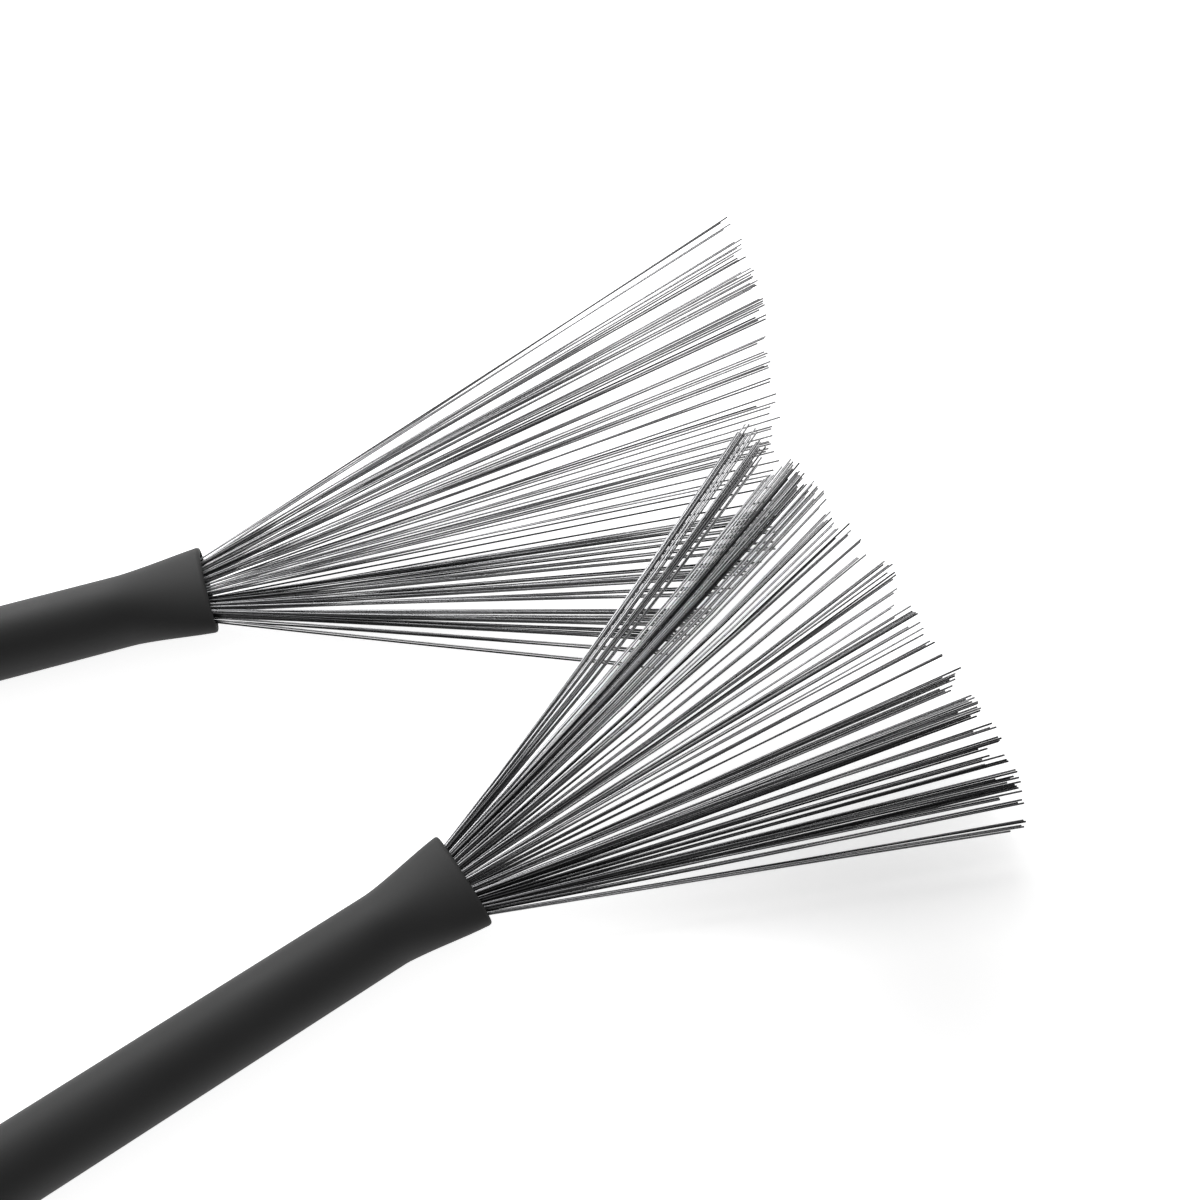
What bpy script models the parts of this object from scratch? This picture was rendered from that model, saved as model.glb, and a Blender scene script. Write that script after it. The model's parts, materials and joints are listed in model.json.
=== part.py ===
"""A pair of retractable wire drum brushes, fans open, lying on a flat surface.

Row frame: +Z up, +X right, +Y away from the player, origin under the middle of the pair on the surface.
Each brush is modelled in its own frame: +X out of the mouth along the handle, +Y across the fan, origin in
the middle of the mouth's rim. Lengths are metres, angles are degrees.
"""

import math

import bmesh
import bpy
from mathutils import Vector

# --- driving dimensions, the same for both brushes ---
GRIP_RADIUS = 0.008
HANDLE_LENGTH = 0.176
MOUTH_HALF_WIDTH = 0.01097
MOUTH_HALF_HEIGHT = 0.00527
FLARE_LENGTH = 0.0184
RUBBER_WALL = 0.00135
TUBE_WALL = 0.0009
FIT_GAP = 0.0003
RUNNING_GAP = 0.0001

TUBE_FRONT_SETBACK = 0.003
TUBE_REAR_SETBACK = 0.001
ROD_RADIUS = 0.0015
BUSH_DEPTH = 0.009
BUSH_FLANGE = 0.0006
BUFFER_THICKNESS = 0.002
BUFFER_RADIUS = 0.005
KNOB_LENGTH = 0.016
KNOB_RADIUS = 0.006
KNOB_WAIST = 0.0044
KNOB_SOCKET = 0.010

FERRULE_FRONT = -0.011
FERRULE_REAR = -0.025
FERRULE_RADIUS = 0.0043
FERRULE_FLAT_WIDTH = 0.00475
FERRULE_FLAT_HEIGHT = 0.0023
FERRULE_WALL = 0.0005
FERRULE_SQUARENESS = 6
ROD_HEAD_LENGTH = 0.0082
PIN_X = -0.0199
PIN_RADIUS = 0.0007
RING_FRONT = -0.0215
RING_LENGTH = 0.003

TUFT_PITCH = 0.00072
TUFT_ROOT_WIDTH = 0.00054
TUFT_ROOT_HEIGHT = 0.0030
TUFT_ROOT_LENGTH = 0.0045
WIRE_WIDTH = 0.00024
WIRE_HEIGHT = 0.00028
TIP_FLATTENING = 0.35
APEX_SETBACK = 0.0089

GRIP_SIDES = 40
TUBE_SIDES = 32
ROUND_SIDES = 24

# --- the two brushes: where they lie, how their fans lean, how far their wires reach from the fan's apex ---
# A tuft is (angle of its middle, half of its spread, number of wires), from the left edge to the right one.
BRUSHES = {
    "rear": {
        "mouth": (0.0054, 0.0331),
        "azimuth": 17.4,
        "fan_pitch": -1.2,
        "wire_reach": 0.1583,
        "reach_slant": 0.40,
        "tufts": (
            (22.8, 0.35, 4), (20.0, 0.8, 8), (17.05, 0.85, 12), (14.0, 0.9, 10), (9.2, 2.2, 12), (3.8, 2.0, 10),
            (-1.0, 2.2, 12), (-7.2, 2.5, 14), (-12.6, 1.85, 14), (-18.1, 2.0, 14), (-22.4, 0.9, 6),
        ),
    },
    "front": {
        "mouth": (0.0657, -0.0334),
        "azimuth": 34.0,
        "fan_pitch": 1.6,
        "wire_reach": 0.1378,
        "reach_slant": 0.055,
        "tufts": (
            (21.7, 1.8, 12), (16.5, 1.6, 14), (13.6, 1.0, 8), (9.3, 2.5, 14), (2.6, 2.1, 10), (-3.1, 2.9, 12),
            (-8.8, 0.8, 10), (-11.6, 1.0, 12), (-15.4, 1.9, 12), (-20.0, 1.5, 12), (-23.2, 0.35, 4),
        ),
    },
}

# name: (colour, roughness, metallic)
MATERIALS = {
    "black_rubber": ((0.018, 0.018, 0.019), 0.62, 0.0),
    "aluminium": ((0.78, 0.79, 0.80), 0.35, 1.0),
    "white_nylon": ((0.80, 0.79, 0.75), 0.45, 0.0),
    "soft_rubber": ((0.03, 0.03, 0.03), 0.75, 0.0),
    "rod_steel": ((0.62, 0.63, 0.64), 0.22, 1.0),
    "black_plastic": ((0.025, 0.025, 0.026), 0.40, 0.0),
    "brass": ((0.72, 0.55, 0.27), 0.30, 1.0),
    "wire_steel": ((0.42, 0.43, 0.44), 0.32, 1.0),
}


def clear_scene():
    """Start from an empty file."""
    for obj in list(bpy.data.objects):
        bpy.data.objects.remove(obj, do_unlink=True)


def make_materials():
    """One Principled material for each finish."""
    made = {}
    for name, (colour, roughness, metallic) in MATERIALS.items():
        material = bpy.data.materials.new(name)
        material.use_nodes = True
        shader = material.node_tree.nodes["Principled BSDF"]
        shader.inputs["Base Color"].default_value = (*colour, 1.0)
        shader.inputs["Roughness"].default_value = roughness
        shader.inputs["Metallic"].default_value = metallic
        made[name] = material
    return made


def finish_object(name, bm, material, parent, smooth=True):
    """Turn a bmesh into a named object with outward faces, under its parent."""
    bm.normal_update()
    bmesh.ops.recalc_face_normals(bm, faces=bm.faces)
    mesh = bpy.data.meshes.new(name)
    bm.to_mesh(mesh)
    bm.free()
    mesh.materials.append(material)
    if smooth:
        mesh.shade_smooth()
        mesh.set_sharp_from_angle(angle=math.radians(35))
    obj = bpy.data.objects.new(name, mesh)
    bpy.context.scene.collection.objects.link(obj)
    obj.parent = parent
    return obj


def new_empty(name, parent=None, location=(0, 0, 0), rotation=(0, 0, 0)):
    """An empty that places what hangs under it."""
    empty = bpy.data.objects.new(name, None)
    bpy.context.scene.collection.objects.link(empty)
    empty.parent = parent
    empty.location = location
    empty.rotation_euler = rotation
    empty.empty_display_size = 0.01
    return empty


# --- sections and lofts ---
def section(x, half_width, half_height, squareness=2):
    """One cross-section at x: a circle, an oval, or a rounded rectangle as squareness grows."""
    return (x, half_width, half_height, squareness)


def circle(x, radius):
    """A round cross-section."""
    return section(x, radius, radius)


def section_points(item, sides):
    """The points round one cross-section."""
    x, half_width, half_height, squareness = item
    power = 2 / squareness
    points = []
    for step in range(sides):
        turn = 2 * math.pi * step / sides
        across, up = math.cos(turn), math.sin(turn)
        y = half_width * math.copysign(abs(across) ** power, across)
        z = half_height * math.copysign(abs(up) ** power, up)
        points.append((x, y, z))
    return points


def loft(sections, sides, hollow):
    """Skin through the sections. A hollow loft's last section joins its first; a solid one is capped."""
    bm = bmesh.new()
    rings = [[bm.verts.new(point) for point in section_points(item, sides)] for item in sections]
    pairs = list(zip(rings, rings[1:]))
    if hollow:
        pairs.append((rings[-1], rings[0]))
    for first, second in pairs:
        for i in range(sides):
            j = (i + 1) % sides
            bm.faces.new((first[i], first[j], second[j], second[i]))
    if not hollow:
        bm.faces.new(rings[0])
        bm.faces.new(rings[-1])
    return bm


def washer(rear, front, inner, outer, edge, sides=ROUND_SIDES):
    """A round ring with its outer edges broken."""
    outline = [
        circle(rear, inner), circle(rear, outer - edge), circle(rear + edge, outer),
        circle(front - edge, outer), circle(front, outer - edge), circle(front, inner),
    ]
    return loft(outline, sides, hollow=True)


def flare_amount(x):
    """How far the handle has opened at x: 0 behind the flare, 1 at the mouth, with a soft start."""
    run = min(1.0, max(0.0, (x + FLARE_LENGTH) / FLARE_LENGTH))
    return 0.65 * run + 0.35 * run * run * (3 - 2 * run)


def handle_section(x, inset):
    """The handle's outside at x, moved in by inset."""
    opened = flare_amount(x)
    half_width = GRIP_RADIUS + (MOUTH_HALF_WIDTH - GRIP_RADIUS) * opened
    half_height = GRIP_RADIUS + (MOUTH_HALF_HEIGHT - GRIP_RADIUS) * opened
    return section(x, half_width - inset, half_height - inset)


def flare_run(first, last, steps):
    """Places along the handle from first to last."""
    return [first + (last - first) * i / steps for i in range(steps + 1)]


# --- handle pieces ---
def build_grip_sleeve():
    """Rubber sleeve: round behind, flared to the oval mouth, with rounded ends."""
    rear = -HANDLE_LENGTH
    lip = RUBBER_WALL / 2
    outside = [
        handle_section(rear, 0.0010), handle_section(rear + 0.0003, 0.0005), handle_section(rear + 0.0010, 0),
    ]
    outside += [handle_section(x, 0) for x in flare_run(-FLARE_LENGTH - 0.002, -lip, 9)]
    outside += [handle_section(-lip * 0.3, lip * 0.3), handle_section(0, lip * 0.8)]
    inside = [handle_section(0, RUBBER_WALL - lip * 0.6)]
    inside += [handle_section(x, RUBBER_WALL) for x in flare_run(-lip * 0.8, -FLARE_LENGTH - 0.002, 8)]
    inside += [handle_section(rear, RUBBER_WALL)]
    return loft(outside + inside, GRIP_SIDES, hollow=True)


def build_handle_tube():
    """Thin tube inside the rubber, its front end pressed oval."""
    rear = -HANDLE_LENGTH + TUBE_REAR_SETBACK
    front = -TUBE_FRONT_SETBACK
    outer_inset = RUBBER_WALL + FIT_GAP
    inner_inset = outer_inset + TUBE_WALL
    stations = [rear] + flare_run(-FLARE_LENGTH - 0.002, front, 7)
    outside = [handle_section(x, outer_inset) for x in stations]
    inside = [handle_section(x, inner_inset) for x in reversed(stations)]
    return loft(outside + inside, TUBE_SIDES, hollow=True)


def tube_bore():
    """Radius of the tube's round bore."""
    return GRIP_RADIUS - RUBBER_WALL - FIT_GAP - TUBE_WALL


def build_guide_bush():
    """Bush in the tube's rear end, with a flange outside and a groove for the friction ring."""
    rear = -HANDLE_LENGTH - BUSH_FLANGE
    flange_front = -HANDLE_LENGTH + TUBE_REAR_SETBACK - FIT_GAP
    front = -HANDLE_LENGTH + BUSH_DEPTH
    flange = GRIP_RADIUS - RUBBER_WALL - FIT_GAP
    barrel = tube_bore() - 0.00025
    bore = ROD_RADIUS + RUNNING_GAP
    groove = 0.0032
    outline = [
        circle(rear, flange - 0.0003), circle(rear + 0.0003, flange), circle(flange_front, flange),
        circle(flange_front, barrel), circle(front - 0.0005, barrel), circle(front, barrel - 0.0005),
        circle(front, bore), circle(rear + 0.0065, bore), circle(rear + 0.0065, groove),
        circle(rear + 0.0035, groove), circle(rear + 0.0035, bore), circle(rear, bore),
    ]
    return loft(outline, ROUND_SIDES, hollow=True)


def build_friction_ring():
    """Round-edged rubber ring that lies in the bush's groove and grips the rod."""
    rear = -HANDLE_LENGTH - BUSH_FLANGE + 0.0038
    return washer(rear, rear + 0.0024, ROD_RADIUS + RUNNING_GAP, 0.0029, 0.0006)


# --- carriage pieces ---
def knob_front():
    """Front face of the knob with the fan pushed fully out."""
    return -HANDLE_LENGTH - BUSH_FLANGE - 2 * FIT_GAP - BUFFER_THICKNESS


def build_pull_rod():
    """Steel rod with a thicker head that fills the ferrule's rear end."""
    rear = knob_front() - KNOB_SOCKET + FIT_GAP
    head = FERRULE_RADIUS - FERRULE_WALL - 0.0002
    head_rear = FERRULE_REAR - 0.001
    outline = [
        circle(rear, ROD_RADIUS - 0.0002), circle(rear + 0.0002, ROD_RADIUS), circle(head_rear, ROD_RADIUS),
        circle(head_rear, head - 0.0004), circle(head_rear + 0.0004, head),
        circle(head_rear + ROD_HEAD_LENGTH, head),
    ]
    return loft(outline, ROUND_SIDES, hollow=False)


def build_pull_knob():
    """Waisted knob with a flat end and a blind socket for the rod."""
    front = knob_front()
    rear = front - KNOB_LENGTH
    socket = ROD_RADIUS + 0.0002
    outline = [
        circle(rear, KNOB_RADIUS - 0.0008), circle(rear + 0.0003, KNOB_RADIUS - 0.0002),
        circle(rear + 0.0008, KNOB_RADIUS), circle(rear + 0.0050, KNOB_RADIUS),
        circle(rear + 0.0075, KNOB_WAIST), circle(front - 0.0035, KNOB_WAIST),
        circle(front - 0.0015, KNOB_RADIUS - 0.0008), circle(front - 0.0004, KNOB_RADIUS - 0.0008),
        circle(front, KNOB_RADIUS - 0.0012), circle(front, socket), circle(front - KNOB_SOCKET, socket),
    ]
    return loft(outline, ROUND_SIDES, hollow=False)


def build_knob_buffer():
    """Rubber washer on the rod in front of the knob."""
    rear = knob_front() + FIT_GAP
    return washer(rear, rear + BUFFER_THICKNESS, ROD_RADIUS + 0.0002, BUFFER_RADIUS, 0.0004)


def build_wire_ferrule():
    """Ferrule: round behind for the rod's head, crimped flat in front round the wires."""
    round_end = FERRULE_REAR + 0.0075
    flat_start = FERRULE_REAR + 0.0105
    inner = FERRULE_RADIUS - FERRULE_WALL
    flat_inner = (FERRULE_FLAT_WIDTH - FERRULE_WALL, FERRULE_FLAT_HEIGHT - FERRULE_WALL, FERRULE_SQUARENESS)
    flat_outer = (FERRULE_FLAT_WIDTH, FERRULE_FLAT_HEIGHT, FERRULE_SQUARENESS)
    outline = [
        circle(FERRULE_REAR, FERRULE_RADIUS), circle(round_end, FERRULE_RADIUS),
        section(flat_start, *flat_outer), section(FERRULE_FRONT, *flat_outer),
        section(FERRULE_FRONT, *flat_inner), section(flat_start, *flat_inner),
        circle(round_end, inner), circle(FERRULE_REAR, inner),
    ]
    return loft(outline, ROUND_SIDES, hollow=True)


def build_glide_ring():
    """Plastic ring round the ferrule's rear end that slides in the tube."""
    outer = tube_bore() - 0.0002
    inner = FERRULE_RADIUS + RUNNING_GAP
    return washer(RING_FRONT - RING_LENGTH, RING_FRONT, inner, outer, 0.0003)


def across_cylinder(radius, half_length):
    """A cylinder lying across the brush at the ferrule pin's place."""
    bm = bmesh.new()
    bmesh.ops.create_cone(
        bm, cap_ends=True, segments=16, radius1=radius, radius2=radius, depth=2 * half_length)
    for vert in bm.verts:
        vert.co = Vector((vert.co.x + PIN_X, vert.co.z, vert.co.y))
    return bm


def cut_pin_hole(obj, cutter):
    """Drill the pin's hole through a piece."""
    drill = obj.modifiers.new("pin_hole", "BOOLEAN")
    drill.operation = "DIFFERENCE"
    drill.solver = "EXACT"
    drill.object = cutter


# --- wires ---
def wire_length(brush, angle):
    """Length of the wire at this angle, from the ferrule to its square-cut tip."""
    return brush["wire_reach"] * (1 + brush["reach_slant"] * math.radians(angle)) - APEX_SETBACK


def build_wire_tuft(brush, middle, spread, count):
    """One tuft: a root block held in the ferrule, with two columns of wires that spread from its front."""
    rows = count // 2
    row_height = TUFT_ROOT_HEIGHT / rows
    column_width = TUFT_ROOT_WIDTH / 2
    bm = bmesh.new()
    grid = [
        [bm.verts.new((0, (1 - column) * column_width, row * row_height - TUFT_ROOT_HEIGHT / 2))
         for row in range(rows + 1)]
        for column in range(3)
    ]
    cells = []
    for column in range(2):
        for row in range(rows):
            left, right = grid[column], grid[column + 1]
            cells.append(bm.faces.new((left[row], right[row], right[row + 1], left[row + 1])))
    root = bmesh.ops.extrude_face_region(bm, geom=list(cells), use_keep_orig=True)
    back = [item for item in root["geom"] if isinstance(item, bmesh.types.BMVert)]
    bmesh.ops.translate(bm, verts=back, vec=(-TUFT_ROOT_LENGTH, 0, 0))
    for index, cell in enumerate(cells):
        add_wire(bm, cell, brush, middle + spread * (1 - 2 * index / (count - 1)))
    return bm


def add_wire(bm, cell, brush, angle):
    """Draw one wire out of a cell of the root block's front face."""
    centre = cell.calc_center_median()
    bmesh.ops.inset_individual(bm, faces=[cell], thickness=0.00001)
    for vert in cell.verts:
        offset = vert.co - centre
        vert.co.y = centre.y + math.copysign(WIRE_WIDTH / 2, offset.y)
        vert.co.z = centre.z + math.copysign(WIRE_HEIGHT / 2, offset.z)
    wire = bmesh.ops.extrude_discrete_faces(bm, faces=[cell])["faces"][0]
    length = wire_length(brush, angle)
    turn = math.radians(angle)
    run = (length * math.cos(turn), length * math.sin(turn), -centre.z * (1 - TIP_FLATTENING))
    bmesh.ops.translate(bm, verts=list(wire.verts), vec=run)


# --- assembly ---
def build_brush(side, brush, materials):
    """All pieces of one brush, placed on the surface."""
    frame = new_empty(
        side + "_brush", location=(*brush["mouth"], GRIP_RADIUS),
        rotation=(0, 0, math.radians(brush["azimuth"])))
    carriage = new_empty(side + "_carriage", parent=frame)
    handle_pieces = (
        ("grip_sleeve", build_grip_sleeve, "black_rubber"),
        ("handle_tube", build_handle_tube, "aluminium"),
        ("guide_bush", build_guide_bush, "white_nylon"),
        ("friction_ring", build_friction_ring, "soft_rubber"),
    )
    for name, build, finish in handle_pieces:
        finish_object(side + "_" + name, build(), materials[finish], frame)
    carriage_pieces = (
        ("pull_rod", build_pull_rod, "rod_steel"),
        ("pull_knob", build_pull_knob, "black_plastic"),
        ("knob_buffer", build_knob_buffer, "soft_rubber"),
        ("wire_ferrule", build_wire_ferrule, "brass"),
        ("glide_ring", build_glide_ring, "white_nylon"),
    )
    made = {}
    for name, build, finish in carriage_pieces:
        made[name] = finish_object(side + "_" + name, build(), materials[finish], carriage)
    pin = across_cylinder(PIN_RADIUS, FERRULE_RADIUS - 0.0002)
    finish_object(side + "_ferrule_pin", pin, materials["rod_steel"], carriage)
    cutter = finish_object(
        side + "_pin_cutter", across_cylinder(PIN_RADIUS + 0.00015, 2 * FERRULE_RADIUS),
        materials["rod_steel"], carriage)
    cutter.hide_render = True
    cutter.display_type = "WIRE"
    for name in ("pull_rod", "wire_ferrule"):
        cut_pin_hole(made[name], cutter)
    build_fan(side, brush, materials["wire_steel"], carriage)


def build_fan(side, brush, material, carriage):
    """The tufts side by side in the ferrule's mouth, each with its origin on its own bend."""
    fan = new_empty(
        side + "_fan", parent=carriage, location=(FERRULE_FRONT, 0, 0),
        rotation=(0, -math.radians(brush["fan_pitch"]), 0))
    tufts = brush["tufts"]
    for index, (middle, spread, count) in enumerate(tufts):
        bm = build_wire_tuft(brush, middle, spread, count)
        name = f"{side}_wire_tuft_{index + 1:02d}"
        tuft = finish_object(name, bm, material, fan, smooth=False)
        tuft.location = (0, ((len(tufts) - 1) / 2 - index) * TUFT_PITCH, 0)


def main():
    clear_scene()
    materials = make_materials()
    for side, brush in BRUSHES.items():
        build_brush(side, brush, materials)
    bpy.context.view_layer.update()


main()
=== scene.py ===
"""Looks of the pair of retractable wire drum brushes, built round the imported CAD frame. Metres, +Z up."""

import json
import math
import random

import bmesh
import bpy
from mathutils import Matrix, Vector


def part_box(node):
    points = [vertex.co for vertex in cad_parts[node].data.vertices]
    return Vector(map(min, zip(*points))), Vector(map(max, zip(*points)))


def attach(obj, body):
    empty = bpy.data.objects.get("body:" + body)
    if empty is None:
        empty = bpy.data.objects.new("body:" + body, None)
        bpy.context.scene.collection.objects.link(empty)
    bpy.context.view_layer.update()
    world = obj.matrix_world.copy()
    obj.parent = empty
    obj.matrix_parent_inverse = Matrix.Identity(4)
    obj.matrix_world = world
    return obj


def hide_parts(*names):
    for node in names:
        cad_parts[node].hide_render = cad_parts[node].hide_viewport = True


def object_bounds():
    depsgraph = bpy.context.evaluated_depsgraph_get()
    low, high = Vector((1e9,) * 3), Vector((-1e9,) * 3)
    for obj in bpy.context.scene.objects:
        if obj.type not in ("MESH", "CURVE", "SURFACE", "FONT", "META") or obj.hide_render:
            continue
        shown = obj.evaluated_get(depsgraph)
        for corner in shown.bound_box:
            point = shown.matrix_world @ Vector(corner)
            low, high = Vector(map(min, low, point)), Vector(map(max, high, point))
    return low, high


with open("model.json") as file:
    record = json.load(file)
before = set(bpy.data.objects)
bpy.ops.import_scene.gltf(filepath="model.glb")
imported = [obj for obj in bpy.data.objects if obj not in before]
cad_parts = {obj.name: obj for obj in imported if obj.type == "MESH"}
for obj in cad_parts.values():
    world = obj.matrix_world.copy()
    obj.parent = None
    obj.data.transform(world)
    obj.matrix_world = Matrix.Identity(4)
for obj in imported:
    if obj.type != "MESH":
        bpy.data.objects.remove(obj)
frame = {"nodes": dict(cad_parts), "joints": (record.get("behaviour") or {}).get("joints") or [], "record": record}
CAD_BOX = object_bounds()

SIDES = ("rear", "front")
RIM_SIDES = 128
WIRE_SIDES = 8
WIRE_RADIUS = 0.00021
APEX_SETBACK = 0.0089
MM = 0.001

# Each fan's wires, tuft by tuft from the left edge. A strand is its angle from the brush's axis in degrees,
# its number of wires, and the reach of its longest wire in millimetres from the point behind the ferrule that
# the fan spreads from. A tuft turns as one when the fan is drawn in, so a strand more than about 3 degrees
# from its tuft's middle would come out through the handle.
STRANDS = {
    "rear": (
        ((22.9, 2, 184), (22.2, 2, 183)),
        ((20.6, 2, 182), (20.1, 2, 181), (19.7, 2, 180), (19.0, 3, 179)),
        ((17.6, 4, 178), (17.0, 3, 177), (16.4, 3, 177), (16.0, 2, 176)),
        ((14.7, 3, 175), (14.0, 3, 174), (13.3, 2, 173), (12.9, 2, 172)),
        ((11.1, 3, 169), (9.7, 3, 167), (8.4, 4, 166), (7.2, 1, 164), (6.7, 1, 163)),
        ((5.5, 1, 163), (4.9, 2, 162), (4.4, 1, 160), (3.8, 1, 159), (3.1, 1, 161), (2.3, 2, 158),
         (1.4, 1, 157)),
        ((1.0, 3, 156), (0.2, 3, 156), (-1.2, 1, 156), (-1.9, 1, 154), (-2.4, 1, 153), (-2.9, 1, 153),
         (-3.6, 1, 152)),
        ((-4.9, 1, 152), (-6.1, 4, 151), (-6.8, 4, 151), (-7.6, 3, 150), (-8.2, 2, 150), (-9.3, 3, 149),
         (-9.9, 2, 149)),
        ((-11.1, 4, 145), (-11.8, 4, 142), (-12.5, 4, 141), (-13.8, 3, 137), (-14.5, 3, 135)),
        ((-16.3, 5, 132), (-17.1, 5, 130), (-17.8, 3, 129), (-18.9, 5, 127), (-19.7, 4, 125)),
        ((-21.2, 3, 122), (-23.0, 2, 120)),
    ),
    "front": (
        ((22.8, 5, 144), (21.9, 5, 144), (20.7, 4, 142), (20.1, 3, 141), (19.5, 2, 138)),
        ((17.8, 4, 136), (17.1, 5, 142), (16.3, 5, 142), (15.5, 5, 141), (14.7, 5, 139)),
        ((14.0, 4, 141), (13.4, 3, 140), (12.8, 3, 140), (12.0, 2, 139)),
        ((11.0, 2, 137), (10.5, 3, 136), (9.9, 2, 136), (9.2, 2, 135), (8.7, 2, 138), (8.1, 2, 137),
         (6.7, 2, 137)),
        ((5.5, 3, 135), (3.5, 2, 137), (3.0, 2, 138), (2.6, 1, 136), (2.1, 1, 137), (1.8, 2, 137),
         (0.6, 2, 135)),
        ((-0.5, 2, 132), (-1.5, 2, 135), (-2.2, 4, 135), (-3.3, 2, 134), (-4.0, 1, 134), (-4.6, 1, 133),
         (-5.7, 3, 134)),
        ((-7.2, 2, 134), (-9.2, 2, 136), (-9.7, 4, 134), (-10.4, 3, 132), (-10.8, 1, 131)),
        ((-12.0, 3, 135), (-12.6, 4, 135), (-13.2, 4, 135), (-13.7, 3, 134)),
        ((-15.1, 4, 136), (-16.5, 3, 136), (-16.9, 3, 135), (-17.9, 3, 135)),
        ((-18.5, 3, 135), (-19.9, 4, 136), (-20.5, 4, 136), (-21.1, 3, 135), (-21.8, 3, 136),
         (-22.6, 3, 136)),
        ((-24.3, 2, 134), (-24.8, 3, 133)),
    ),
}
# How light a fan's wires are painted at its left and right edges, from 0 to 1, a painted shade across the fan for
# how the light falls on it, and how far strands and wires vary at random
PAINTED_SHADE_TONES = {"rear": (0.38, 0.26), "front": (0.40, 0.14)}
STRAND_TONE = 0.2
WIRE_TONE = 0.25
# How far the front fan's left half bows to the right where it rides over the rear fan, and how far every
# strand and wire bows either way
FRONT_BOW = 0.0016
STRAND_BOW = 0.0003
WIRE_BOW = 0.00008
# Where a wire's centre line has points, and how far these stay from its tip
WIRE_RUNS = (0.002, 0.005, 0.012, 0.03, 0.06, 0.09, 0.12)
TIP_CLEARANCE = 0.012
# Degrees between the neighbouring wires of a strand
WIRE_SPACING = (0.15, 0.18)
# How much shorter than its strand's longest wire another wire is
SHORTFALLS = (0.0003, 0.0007, 0.0012, 0.002, 0.003, 0.005)
# How high a tuft's wires are stacked in the ferrule and at their tips, how far a whole strand's tips are
# raised or lowered, and how far the wires' roots lie side by side
ROOT_STACK = 0.0028
TIP_STACK = 0.0006
STRAND_LIFT = 0.0004
ROOT_WIDTH = 0.0004
# The part of the stack that each wire lies above the last, going round
LEVEL_STEP = 0.618

# The camera, from the middle of the rear brush's mouth, with angles in degrees and its lens in millimetres
MOUTH_TO_CAMERA = (0.08389, -0.15089, 0.29056)
CAMERA_ELEVATION = 62.88
CAMERA_AZIMUTH = 1.59
CAMERA_ROLL = 1.79
CAMERA_LENS = 43.5


# --- the brushes' own frames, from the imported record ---
JOINTS = {joint["name"]: joint for joint in frame["joints"]}


def brush_matrix(side):
    """The brush's frame: X along the handle to its mouth, Y across the fan, origin at the rear end."""
    forward = Vector(JOINTS[side + "_fan_slide"]["axis"]).normalized()
    across = Vector((0, 0, 1)).cross(forward)
    low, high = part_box(side + "_grip_sleeve")
    low_x = min(forward.dot(v.co) for v in frame["nodes"][side + "_grip_sleeve"].data.vertices)
    hinges = [Vector(JOINTS[f"{side}_tuft_{i:02d}_bend"]["pos_m"]) for i in (1, len(STRANDS[side]))]
    middle = (hinges[0] + hinges[1]) / 2
    origin = middle + forward * (low_x - forward.dot(middle))
    origin.z = (low.z + high.z) / 2
    matrix = Matrix((forward, across, (0, 0, 1))).transposed().to_4x4()
    matrix.translation = origin
    return matrix


BRUSH = {side: brush_matrix(side) for side in SIDES}


# --- materials ---
def new_material(name, colour, roughness, metallic=0.0, specular=0.5):
    """A Principled material with its constant values on the shader's own sockets."""
    material = bpy.data.materials.new(name)
    material.use_nodes = True
    shader = material.node_tree.nodes["Principled BSDF"]
    shader.inputs["Base Color"].default_value = (*colour, 1)
    shader.inputs["Roughness"].default_value = roughness
    shader.inputs["Metallic"].default_value = metallic
    shader.inputs["Specular IOR Level"].default_value = specular
    return material, material.node_tree.nodes, material.node_tree.links, shader


def noise_factor(nodes, links, scale, detail):
    """Noise in object space."""
    coords = nodes.new("ShaderNodeTexCoord")
    noise = nodes.new("ShaderNodeTexNoise")
    noise.inputs["Scale"].default_value = scale
    noise.inputs["Detail"].default_value = detail
    links.new(coords.outputs["Object"], noise.inputs["Vector"])
    return noise.outputs["Fac"]


def spread(nodes, links, source, low, high):
    """Map the range that noise mostly takes, 0.3 to 0.7, onto low to high."""
    node = nodes.new("ShaderNodeMapRange")
    node.inputs["From Min"].default_value = 0.3
    node.inputs["From Max"].default_value = 0.7
    node.inputs["To Min"].default_value = low
    node.inputs["To Max"].default_value = high
    links.new(source, node.inputs["Value"])
    return node.outputs["Result"]


def add_bump(nodes, links, shader, source, strength, distance):
    """Fine relief from a noise."""
    bump = nodes.new("ShaderNodeBump")
    bump.inputs["Strength"].default_value = strength
    bump.inputs["Distance"].default_value = distance
    links.new(source, bump.inputs["Height"])
    links.new(bump.outputs["Normal"], shader.inputs["Normal"])


def tinted(nodes, links, shader, factor, first, second):
    """Base colour between two colours."""
    mix = nodes.new("ShaderNodeMix")
    mix.data_type = "RGBA"
    mix.inputs["A"].default_value = (*first, 1)
    mix.inputs["B"].default_value = (*second, 1)
    links.new(factor, mix.inputs["Factor"])
    links.new(mix.outputs["Result"], shader.inputs["Base Color"])


def surface(name, dark, light, rough, metallic=0.0, specular=0.5, relief=0.1):
    """A finish whose colour and roughness wander a little, with fine relief."""
    material, nodes, links, shader = new_material(name, light, sum(rough) / 2, metallic, specular)
    broad = noise_factor(nodes, links, 60, 3)
    fine = noise_factor(nodes, links, 3200, 2)
    tinted(nodes, links, shader, spread(nodes, links, broad, 0, 1), dark, light)
    links.new(spread(nodes, links, broad, *rough), shader.inputs["Roughness"])
    add_bump(nodes, links, shader, fine, relief, 0.00005)
    return material


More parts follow.
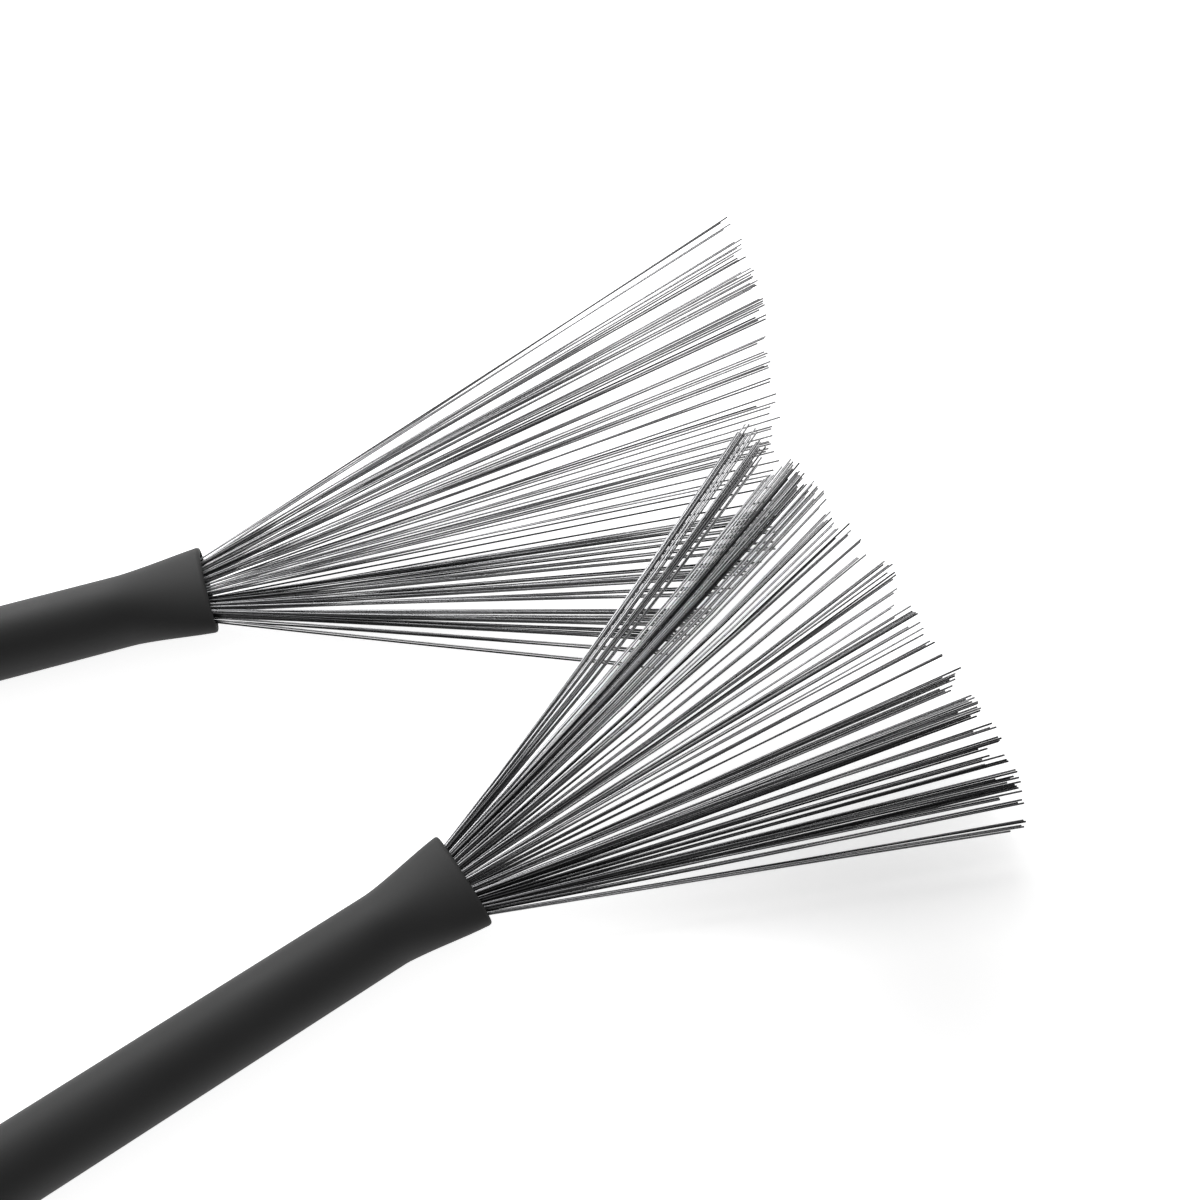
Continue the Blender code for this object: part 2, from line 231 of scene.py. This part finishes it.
def wire_material():
    """Drawn spring steel: how light each wire is comes from a painted shade across the fan plus a random
    difference of its own, and its roughness wanders along it.
    """
    material, nodes, links, shader = new_material("wire_steel_painted_shade", (0.3, 0.3, 0.31), 0.32, 1.0)
    tone = nodes.new("ShaderNodeAttribute")
    tone.attribute_name = "tone"
    tinted(nodes, links, shader, tone.outputs["Fac"], (0.03, 0.03, 0.031), (0.5, 0.5, 0.51))
    streaks = noise_factor(nodes, links, 900, 3)
    links.new(spread(nodes, links, streaks, 0.24, 0.40), shader.inputs["Roughness"])
    return material


MATERIALS = {
    "black_rubber": surface(
        "grip_rubber", (0.019, 0.019, 0.0192), (0.022, 0.022, 0.0222), (0.58, 0.64), specular=0.2,
        relief=0.2),
    "aluminium": surface(
        "tube_aluminium", (0.50, 0.51, 0.52), (0.62, 0.63, 0.64), (0.28, 0.40), 1.0, relief=0.05),
    "white_nylon": surface("nylon", (0.66, 0.65, 0.61), (0.74, 0.73, 0.69), (0.40, 0.52), relief=0.08),
    "soft_rubber": surface(
        "soft_rubber_finish", (0.012, 0.012, 0.012), (0.02, 0.02, 0.02), (0.66, 0.8), relief=0.3),
    "rod_steel": surface(
        "polished_rod", (0.50, 0.51, 0.52), (0.60, 0.61, 0.62), (0.12, 0.22), 1.0, relief=0.03),
    "black_plastic": surface(
        "knob_plastic", (0.014, 0.014, 0.015), (0.02, 0.02, 0.021), (0.34, 0.44), specular=0.45, relief=0.06),
    "brass": surface("ferrule_brass", (0.50, 0.36, 0.15), (0.62, 0.46, 0.20), (0.26, 0.38), 1.0, relief=0.05),
    "wire_steel": wire_material(),
}


# --- turned pieces, from the CAD solids' own outlines ---
def outline(side, node):
    """The CAD piece's outline as (x, half width, half height), walked round from its rear end."""
    to_brush = BRUSH[side].inverted()
    mesh = frame["nodes"][node].data
    keys = []
    for vertex in mesh.vertices:
        point = to_brush @ vertex.co
        keys.append(tuple(round(value / MM, 3) for value in point))
    linked = {}
    for edge in mesh.edges:
        first, second = (keys[i] for i in edge.vertices)
        if first != second:
            linked.setdefault(first, set()).add(second)
            linked.setdefault(second, set()).add(first)
    upright = walk({p: q for p, q in linked.items() if abs(p[1]) < 0.004 and p[2] > 0})
    level = walk({p: q for p, q in linked.items() if abs(p[2]) < 0.004 and p[1] > 0})
    if len(level[0]) == len(upright[0]):
        widths = [point[1] for point in level[0]]
    else:
        widths = [point[2] for point in upright[0]]
    sections = [(p[0] * MM, w * MM, p[2] * MM) for p, w in zip(upright[0], widths)]
    return sections, upright[1]


def walk(linked):
    """Follow the outline's points from one to the next. Returns them, and whether they close."""
    linked = {point: {other for other in others if other in linked} for point, others in linked.items()}
    ends = [point for point, others in linked.items() if len(others) == 1]
    start = min(ends or linked, key=lambda point: (point[0], -abs(point[1]) - abs(point[2])))
    path = [start]
    options = sorted(linked[start], key=lambda point: (-abs(point[1]) - abs(point[2]), point[0]))
    while options:
        path.append(options[0])
        options = sorted(linked[path[-1]] - set(path))
    return path, not ends


def softened(sections, closed, cut):
    """Round each corner of the outline over a distance of at most cut."""
    count = len(sections)
    points = [Vector(item) for item in sections]
    out = []
    for i, point in enumerate(points):
        if not closed and i in (0, count - 1):
            out.append(point)
            continue
        before, after = points[i - 1] - point, points[(i + 1) % count] - point
        reach = min(cut, 0.35 * before.length, 0.35 * after.length)
        start, end = point + before.normalized() * reach, point + after.normalized() * reach
        for step in range(4):
            t = step / 3
            out.append(start * (1 - t) ** 2 + point * 2 * t * (1 - t) + end * t ** 2)
    return out


def turned(side, node, name, cut, body):
    """A fine version of a turned CAD piece, with soft edges, that rides on its body."""
    sections, closed = outline(side, node)
    sections = softened(sections, closed, cut)
    bm = bmesh.new()
    rings = []
    for x, half_width, half_height in sections:
        ring = []
        for step in range(RIM_SIDES):
            turn = 2 * math.pi * step / RIM_SIDES
            local = Vector((x, half_width * math.cos(turn), half_height * math.sin(turn)))
            ring.append(bm.verts.new(BRUSH[side] @ local))
        rings.append(ring)
    pairs = list(zip(rings, rings[1:]))
    if closed:
        pairs.append((rings[-1], rings[0]))
    for first, second in pairs:
        for i in range(RIM_SIDES):
            j = (i + 1) % RIM_SIDES
            bm.faces.new((first[i], first[j], second[j], second[i]))
    if not closed:
        bm.faces.new(rings[0])
        bm.faces.new(rings[-1])
    bm.normal_update()
    bmesh.ops.recalc_face_normals(bm, faces=bm.faces)
    slot = next(part["material_slot"] for part in frame["record"]["subparts"] if part["node"] == node)
    piece = finish_piece(name, bm, slot, sharp=50)
    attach(piece, body)
    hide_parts(node)


def finish_piece(name, bm, slot, sharp):
    """Turn a bmesh into a piece with its slot's material, smooth but for edges over sharp degrees."""
    mesh = bpy.data.meshes.new(name)
    bm.to_mesh(mesh)
    bm.free()
    mesh.shade_smooth()
    mesh.set_sharp_from_angle(angle=math.radians(sharp))
    piece = bpy.data.objects.new(name, mesh)
    bpy.context.scene.collection.objects.link(piece)
    mesh.materials.append(MATERIALS[slot])
    return piece


def build_handles():
    """The handles' and carriages' visible turned pieces."""
    for side in SIDES:
        for part, cut, body in (
            ("grip_sleeve", 0.0006, "handle"),
            ("handle_tube", 0.0002, "handle"),
            ("guide_bush", 0.0002, "handle"),
            ("pull_rod", 0.0002, "carriage"),
            ("pull_knob", 0.0012, "carriage"),
            ("knob_buffer", 0.0003, "carriage"),
        ):
            turned(side, f"{side}_{part}", f"{side}_{part}_fine", cut, f"{side}_{body}")


def dress_cad_nodes():
    """Materials for the CAD pieces that stay."""
    for part in frame["record"]["subparts"]:
        obj = frame["nodes"][part["node"]]
        for slot in obj.material_slots:
            slot.material = MATERIALS[part["material_slot"]]


# --- wires ---
class Fan:
    """A fan's plane and its tufts' roots, from the hinges."""

    def __init__(self, side):
        self.side = side
        self.tufts = STRANDS[side]
        joints = [JOINTS[f"{side}_tuft_{i + 1:02d}_bend"] for i in range(len(self.tufts))]
        self.roots = [Vector(joint["pos_m"]) for joint in joints]
        self.normal = Vector(joints[0]["axis"]).normalized()
        self.across = self.normal.cross(Vector(JOINTS[side + "_fan_slide"]["axis"])).normalized()
        self.forward = self.across.cross(self.normal)

    def tone(self, angle):
        """How light the wires are painted at this angle in degrees, a painted shade across the fan."""
        left, right = self.tufts[0][0][0], self.tufts[-1][-1][0]
        first, last = PAINTED_SHADE_TONES[self.side]
        return last + (first - last) * (angle - right) / (left - right)

    def bow(self, angle):
        """How far a wire at this angle in degrees bows to the right at the middle of its length."""
        return FRONT_BOW * min(1, max(0, (angle + 2) / 12)) if self.side == "front" else 0


def room(fan, root, turn):
    """How long a wire may be at this angle inside the CAD model's box."""
    heading = fan.forward * math.cos(turn) + fan.across * math.sin(turn)
    limits = [(CAD_BOX[1][i] - 3 * WIRE_RADIUS - root[i]) / heading[i] for i in (0, 1) if heading[i] > 0.1]
    return min(limits)


def wire_path(fan, root, turn, length, lift, tip_lift, bow):
    """A wire's centre line: out of the ferrule, round its bend, then nearly straight to the tip."""
    heading = fan.forward * math.cos(turn) + fan.across * math.sin(turn)
    side_way = fan.across * math.cos(turn) - fan.forward * math.sin(turn)
    points = [root - fan.forward * 0.003 + fan.normal * lift, root - fan.forward * 0.001 + fan.normal * lift]
    runs = [run for run in WIRE_RUNS if run <= length - TIP_CLEARANCE]
    for run in (*runs, length):
        part = run / length
        rise = lift + (tip_lift - lift) * part
        points.append(root + heading * run + fan.normal * rise + side_way * bow * math.sin(math.pi * part))
    return points


def add_tube(bm, tones, points, radius, tone):
    """A round wire along the points, with square-cut ends."""
    rings = []
    for i, point in enumerate(points):
        ahead = points[min(i + 1, len(points) - 1)] - points[max(i - 1, 0)]
        ahead.normalize()
        right = ahead.cross(Vector((0, 0, 1))).normalized()
        up = right.cross(ahead)
        ring = []
        for step in range(WIRE_SIDES):
            turn = 2 * math.pi * step / WIRE_SIDES
            vertex = bm.verts.new(point + (right * math.cos(turn) + up * math.sin(turn)) * radius)
            vertex[tones] = tone
            ring.append(vertex)
        rings.append(ring)
    for first, second in zip(rings, rings[1:]):
        for i in range(WIRE_SIDES):
            j = (i + 1) % WIRE_SIDES
            bm.faces.new((first[i], second[i], second[j], first[j]))
    bm.faces.new(rings[0])
    bm.faces.new(reversed(rings[-1]))


def build_tuft(fan, index, draw):
    """One tuft's round wires, from its strands, in place of the CAD tuft."""
    bm = bmesh.new()
    tones = bm.verts.layers.float.new("tone")
    strands = fan.tufts[index]
    total = sum(strand[1] for strand in strands)
    made = 0
    for angle, count, reach in strands:
        strand_lift = draw.uniform(-STRAND_LIFT, STRAND_LIFT)
        # Painted shade across the fan, plus a random difference for each strand and then each wire
        strand_tone = fan.tone(angle) + draw.uniform(-STRAND_TONE, STRAND_TONE)
        strand_bow = draw.uniform(-STRAND_BOW, STRAND_BOW) - fan.bow(angle)
        spacing = draw.uniform(*WIRE_SPACING)
        longest = draw.randrange(count)
        for wire in range(count):
            turn = math.radians(angle + ((count - 1) / 2 - wire) * spacing)
            length = min(reach * MM - APEX_SETBACK, room(fan, fan.roots[index], turn))
            if wire != longest:
                length -= draw.choice(SHORTFALLS)
            level = (made * LEVEL_STEP) % 1.0 - 0.5
            root = fan.roots[index] + fan.across * ROOT_WIDTH * (0.5 - made / max(1, total - 1))
            tip_lift = strand_lift + level * TIP_STACK
            tone = min(1, max(0, strand_tone + draw.uniform(-WIRE_TONE, WIRE_TONE)))
            bow = strand_bow + draw.uniform(-WIRE_BOW, WIRE_BOW)
            points = wire_path(fan, root, turn, length, level * ROOT_STACK, tip_lift, bow)
            add_tube(bm, tones, points, WIRE_RADIUS, tone)
            made += 1
    bm.normal_update()
    name = f"{fan.side}_wires_{index + 1:02d}"
    piece = finish_piece(name, bm, "wire_steel", sharp=60)
    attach(piece, f"{fan.side}_tuft_{index + 1:02d}")
    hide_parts(f"{fan.side}_wire_tuft_{index + 1:02d}")


def build_fans():
    """Both fans."""
    draw = random.Random(7)
    for side in SIDES:
        fan = Fan(side)
        for index in range(len(fan.tufts)):
            build_tuft(fan, index, draw)


# --- setting ---
def floor_material():
    """A white table top that emits painted light, so that it renders pure white, with a painted shadow a little
    greyer beyond the front fan's lower right.
    """
    material, nodes, links, shader = new_material("pale_floor", (0.8, 0.8, 0.8), 0.9, specular=0.0)
    # Painted shadow: a soft round patch beyond the front fan's lower right, where the base colour darkens and the
    # emission drops
    low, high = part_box("front_wire_tuft_11")
    coords = nodes.new("ShaderNodeTexCoord")
    mapping = nodes.new("ShaderNodeMapping")
    mapping.vector_type = "TEXTURE"
    mapping.inputs["Location"].default_value = (low.x * 0.15 + high.x * 0.85, low.y - 0.008, 0)
    mapping.inputs["Scale"].default_value = (0.09, 0.098, 1)
    shade = nodes.new("ShaderNodeTexGradient")
    shade.gradient_type = "SPHERICAL"
    links.new(coords.outputs["Object"], mapping.inputs["Vector"])
    links.new(mapping.outputs["Vector"], shade.inputs["Vector"])
    smooth = nodes.new("ShaderNodeMapRange")
    smooth.interpolation_type = "SMOOTHSTEP"
    links.new(shade.outputs["Fac"], smooth.inputs["Value"])
    tinted(nodes, links, shader, smooth.outputs["Result"], (0.8, 0.8, 0.8), (0.5, 0.5, 0.5))
    # Painted light: the floor emits light so that it renders pure white and hides the real shadows of the handles
    # and fans, less inside the painted shadow
    glow = nodes.new("ShaderNodeMapRange")
    glow.inputs["To Min"].default_value = 0.82
    glow.inputs["To Max"].default_value = 0.52
    links.new(smooth.outputs["Result"], glow.inputs["Value"])
    links.new(glow.outputs["Result"], shader.inputs["Emission Strength"])
    shader.inputs["Emission Color"].default_value = (1, 1, 1, 1)
    return material


def build_floor():
    """A wide pale floor that the brushes lie on."""
    bm = bmesh.new()
    bmesh.ops.create_grid(bm, x_segments=1, y_segments=1, size=4)
    mesh = bpy.data.meshes.new("floor")
    bm.to_mesh(mesh)
    bm.free()
    floor = bpy.data.objects.new("floor", mesh)
    floor.location.z = CAD_BOX[0][2] - 0.0001
    bpy.context.scene.collection.objects.link(floor)
    mesh.materials.append(floor_material())


def add_area(name, place, target, size, power):
    """A soft square light aimed at the brushes."""
    light = bpy.data.lights.new(name, "AREA")
    light.size = size
    light.energy = power
    lamp = bpy.data.objects.new(name, light)
    lamp.location = place
    lamp.rotation_euler = (Vector(target) - Vector(place)).to_track_quat("-Z", "Y").to_euler()
    bpy.context.scene.collection.objects.link(lamp)


def build_lights():
    """A white surround that is brighter low down, with two soft lights behind."""
    world = bpy.data.worlds.new("surround")
    world.use_nodes = True
    nodes, links = world.node_tree.nodes, world.node_tree.links
    coords = nodes.new("ShaderNodeTexCoord")
    split = nodes.new("ShaderNodeSeparateXYZ")
    links.new(coords.outputs["Generated"], split.inputs["Vector"])
    height = nodes.new("ShaderNodeMapRange")
    height.inputs["From Max"].default_value = 0.6
    height.inputs["To Min"].default_value = 0.75
    height.inputs["To Max"].default_value = 0.3
    links.new(split.outputs["Z"], height.inputs["Value"])
    links.new(height.outputs["Result"], nodes["Background"].inputs["Strength"])
    nodes["Background"].inputs["Color"].default_value = (1, 1, 1, 1)
    bpy.context.scene.world = world
    add_area("back_left_light", (-0.5, 0.6, 0.36), (0, 0, 0), 0.5, 7)
    add_area("back_light", (0.0, 0.6, 0.62), (0, 0, 0), 0.45, 5)


def build_camera():
    """The camera: high in front, seen from the middle of the rear brush's mouth."""
    mouth = max((BRUSH["rear"].inverted() @ v.co).x for v in frame["nodes"]["rear_grip_sleeve"].data.vertices)
    start = BRUSH["rear"] @ Vector((mouth, 0, 0))
    place = start + Vector(MOUTH_TO_CAMERA)
    elevation, azimuth = math.radians(CAMERA_ELEVATION), math.radians(CAMERA_AZIMUTH)
    ahead = math.cos(elevation)
    view = Vector((ahead * math.sin(azimuth), ahead * math.cos(azimuth), -math.sin(elevation)))
    data = bpy.data.cameras.new("camera")
    data.sensor_width = 36
    data.lens = CAMERA_LENS
    data.clip_start = 0.01
    camera = bpy.data.objects.new("camera", data)
    level = view.to_track_quat("-Z", "Y").to_matrix().to_4x4()
    roll = Matrix.Rotation(math.radians(CAMERA_ROLL), 4, "Z")
    camera.matrix_world = Matrix.Translation(place) @ level @ roll
    bpy.context.scene.collection.objects.link(camera)
    bpy.context.scene.camera = camera


def main():
    """Build the scene, with a Standard view transform."""
    dress_cad_nodes()
    build_handles()
    build_fans()
    build_floor()
    build_lights()
    build_camera()
    bpy.context.scene.view_settings.view_transform = "Standard"


main()
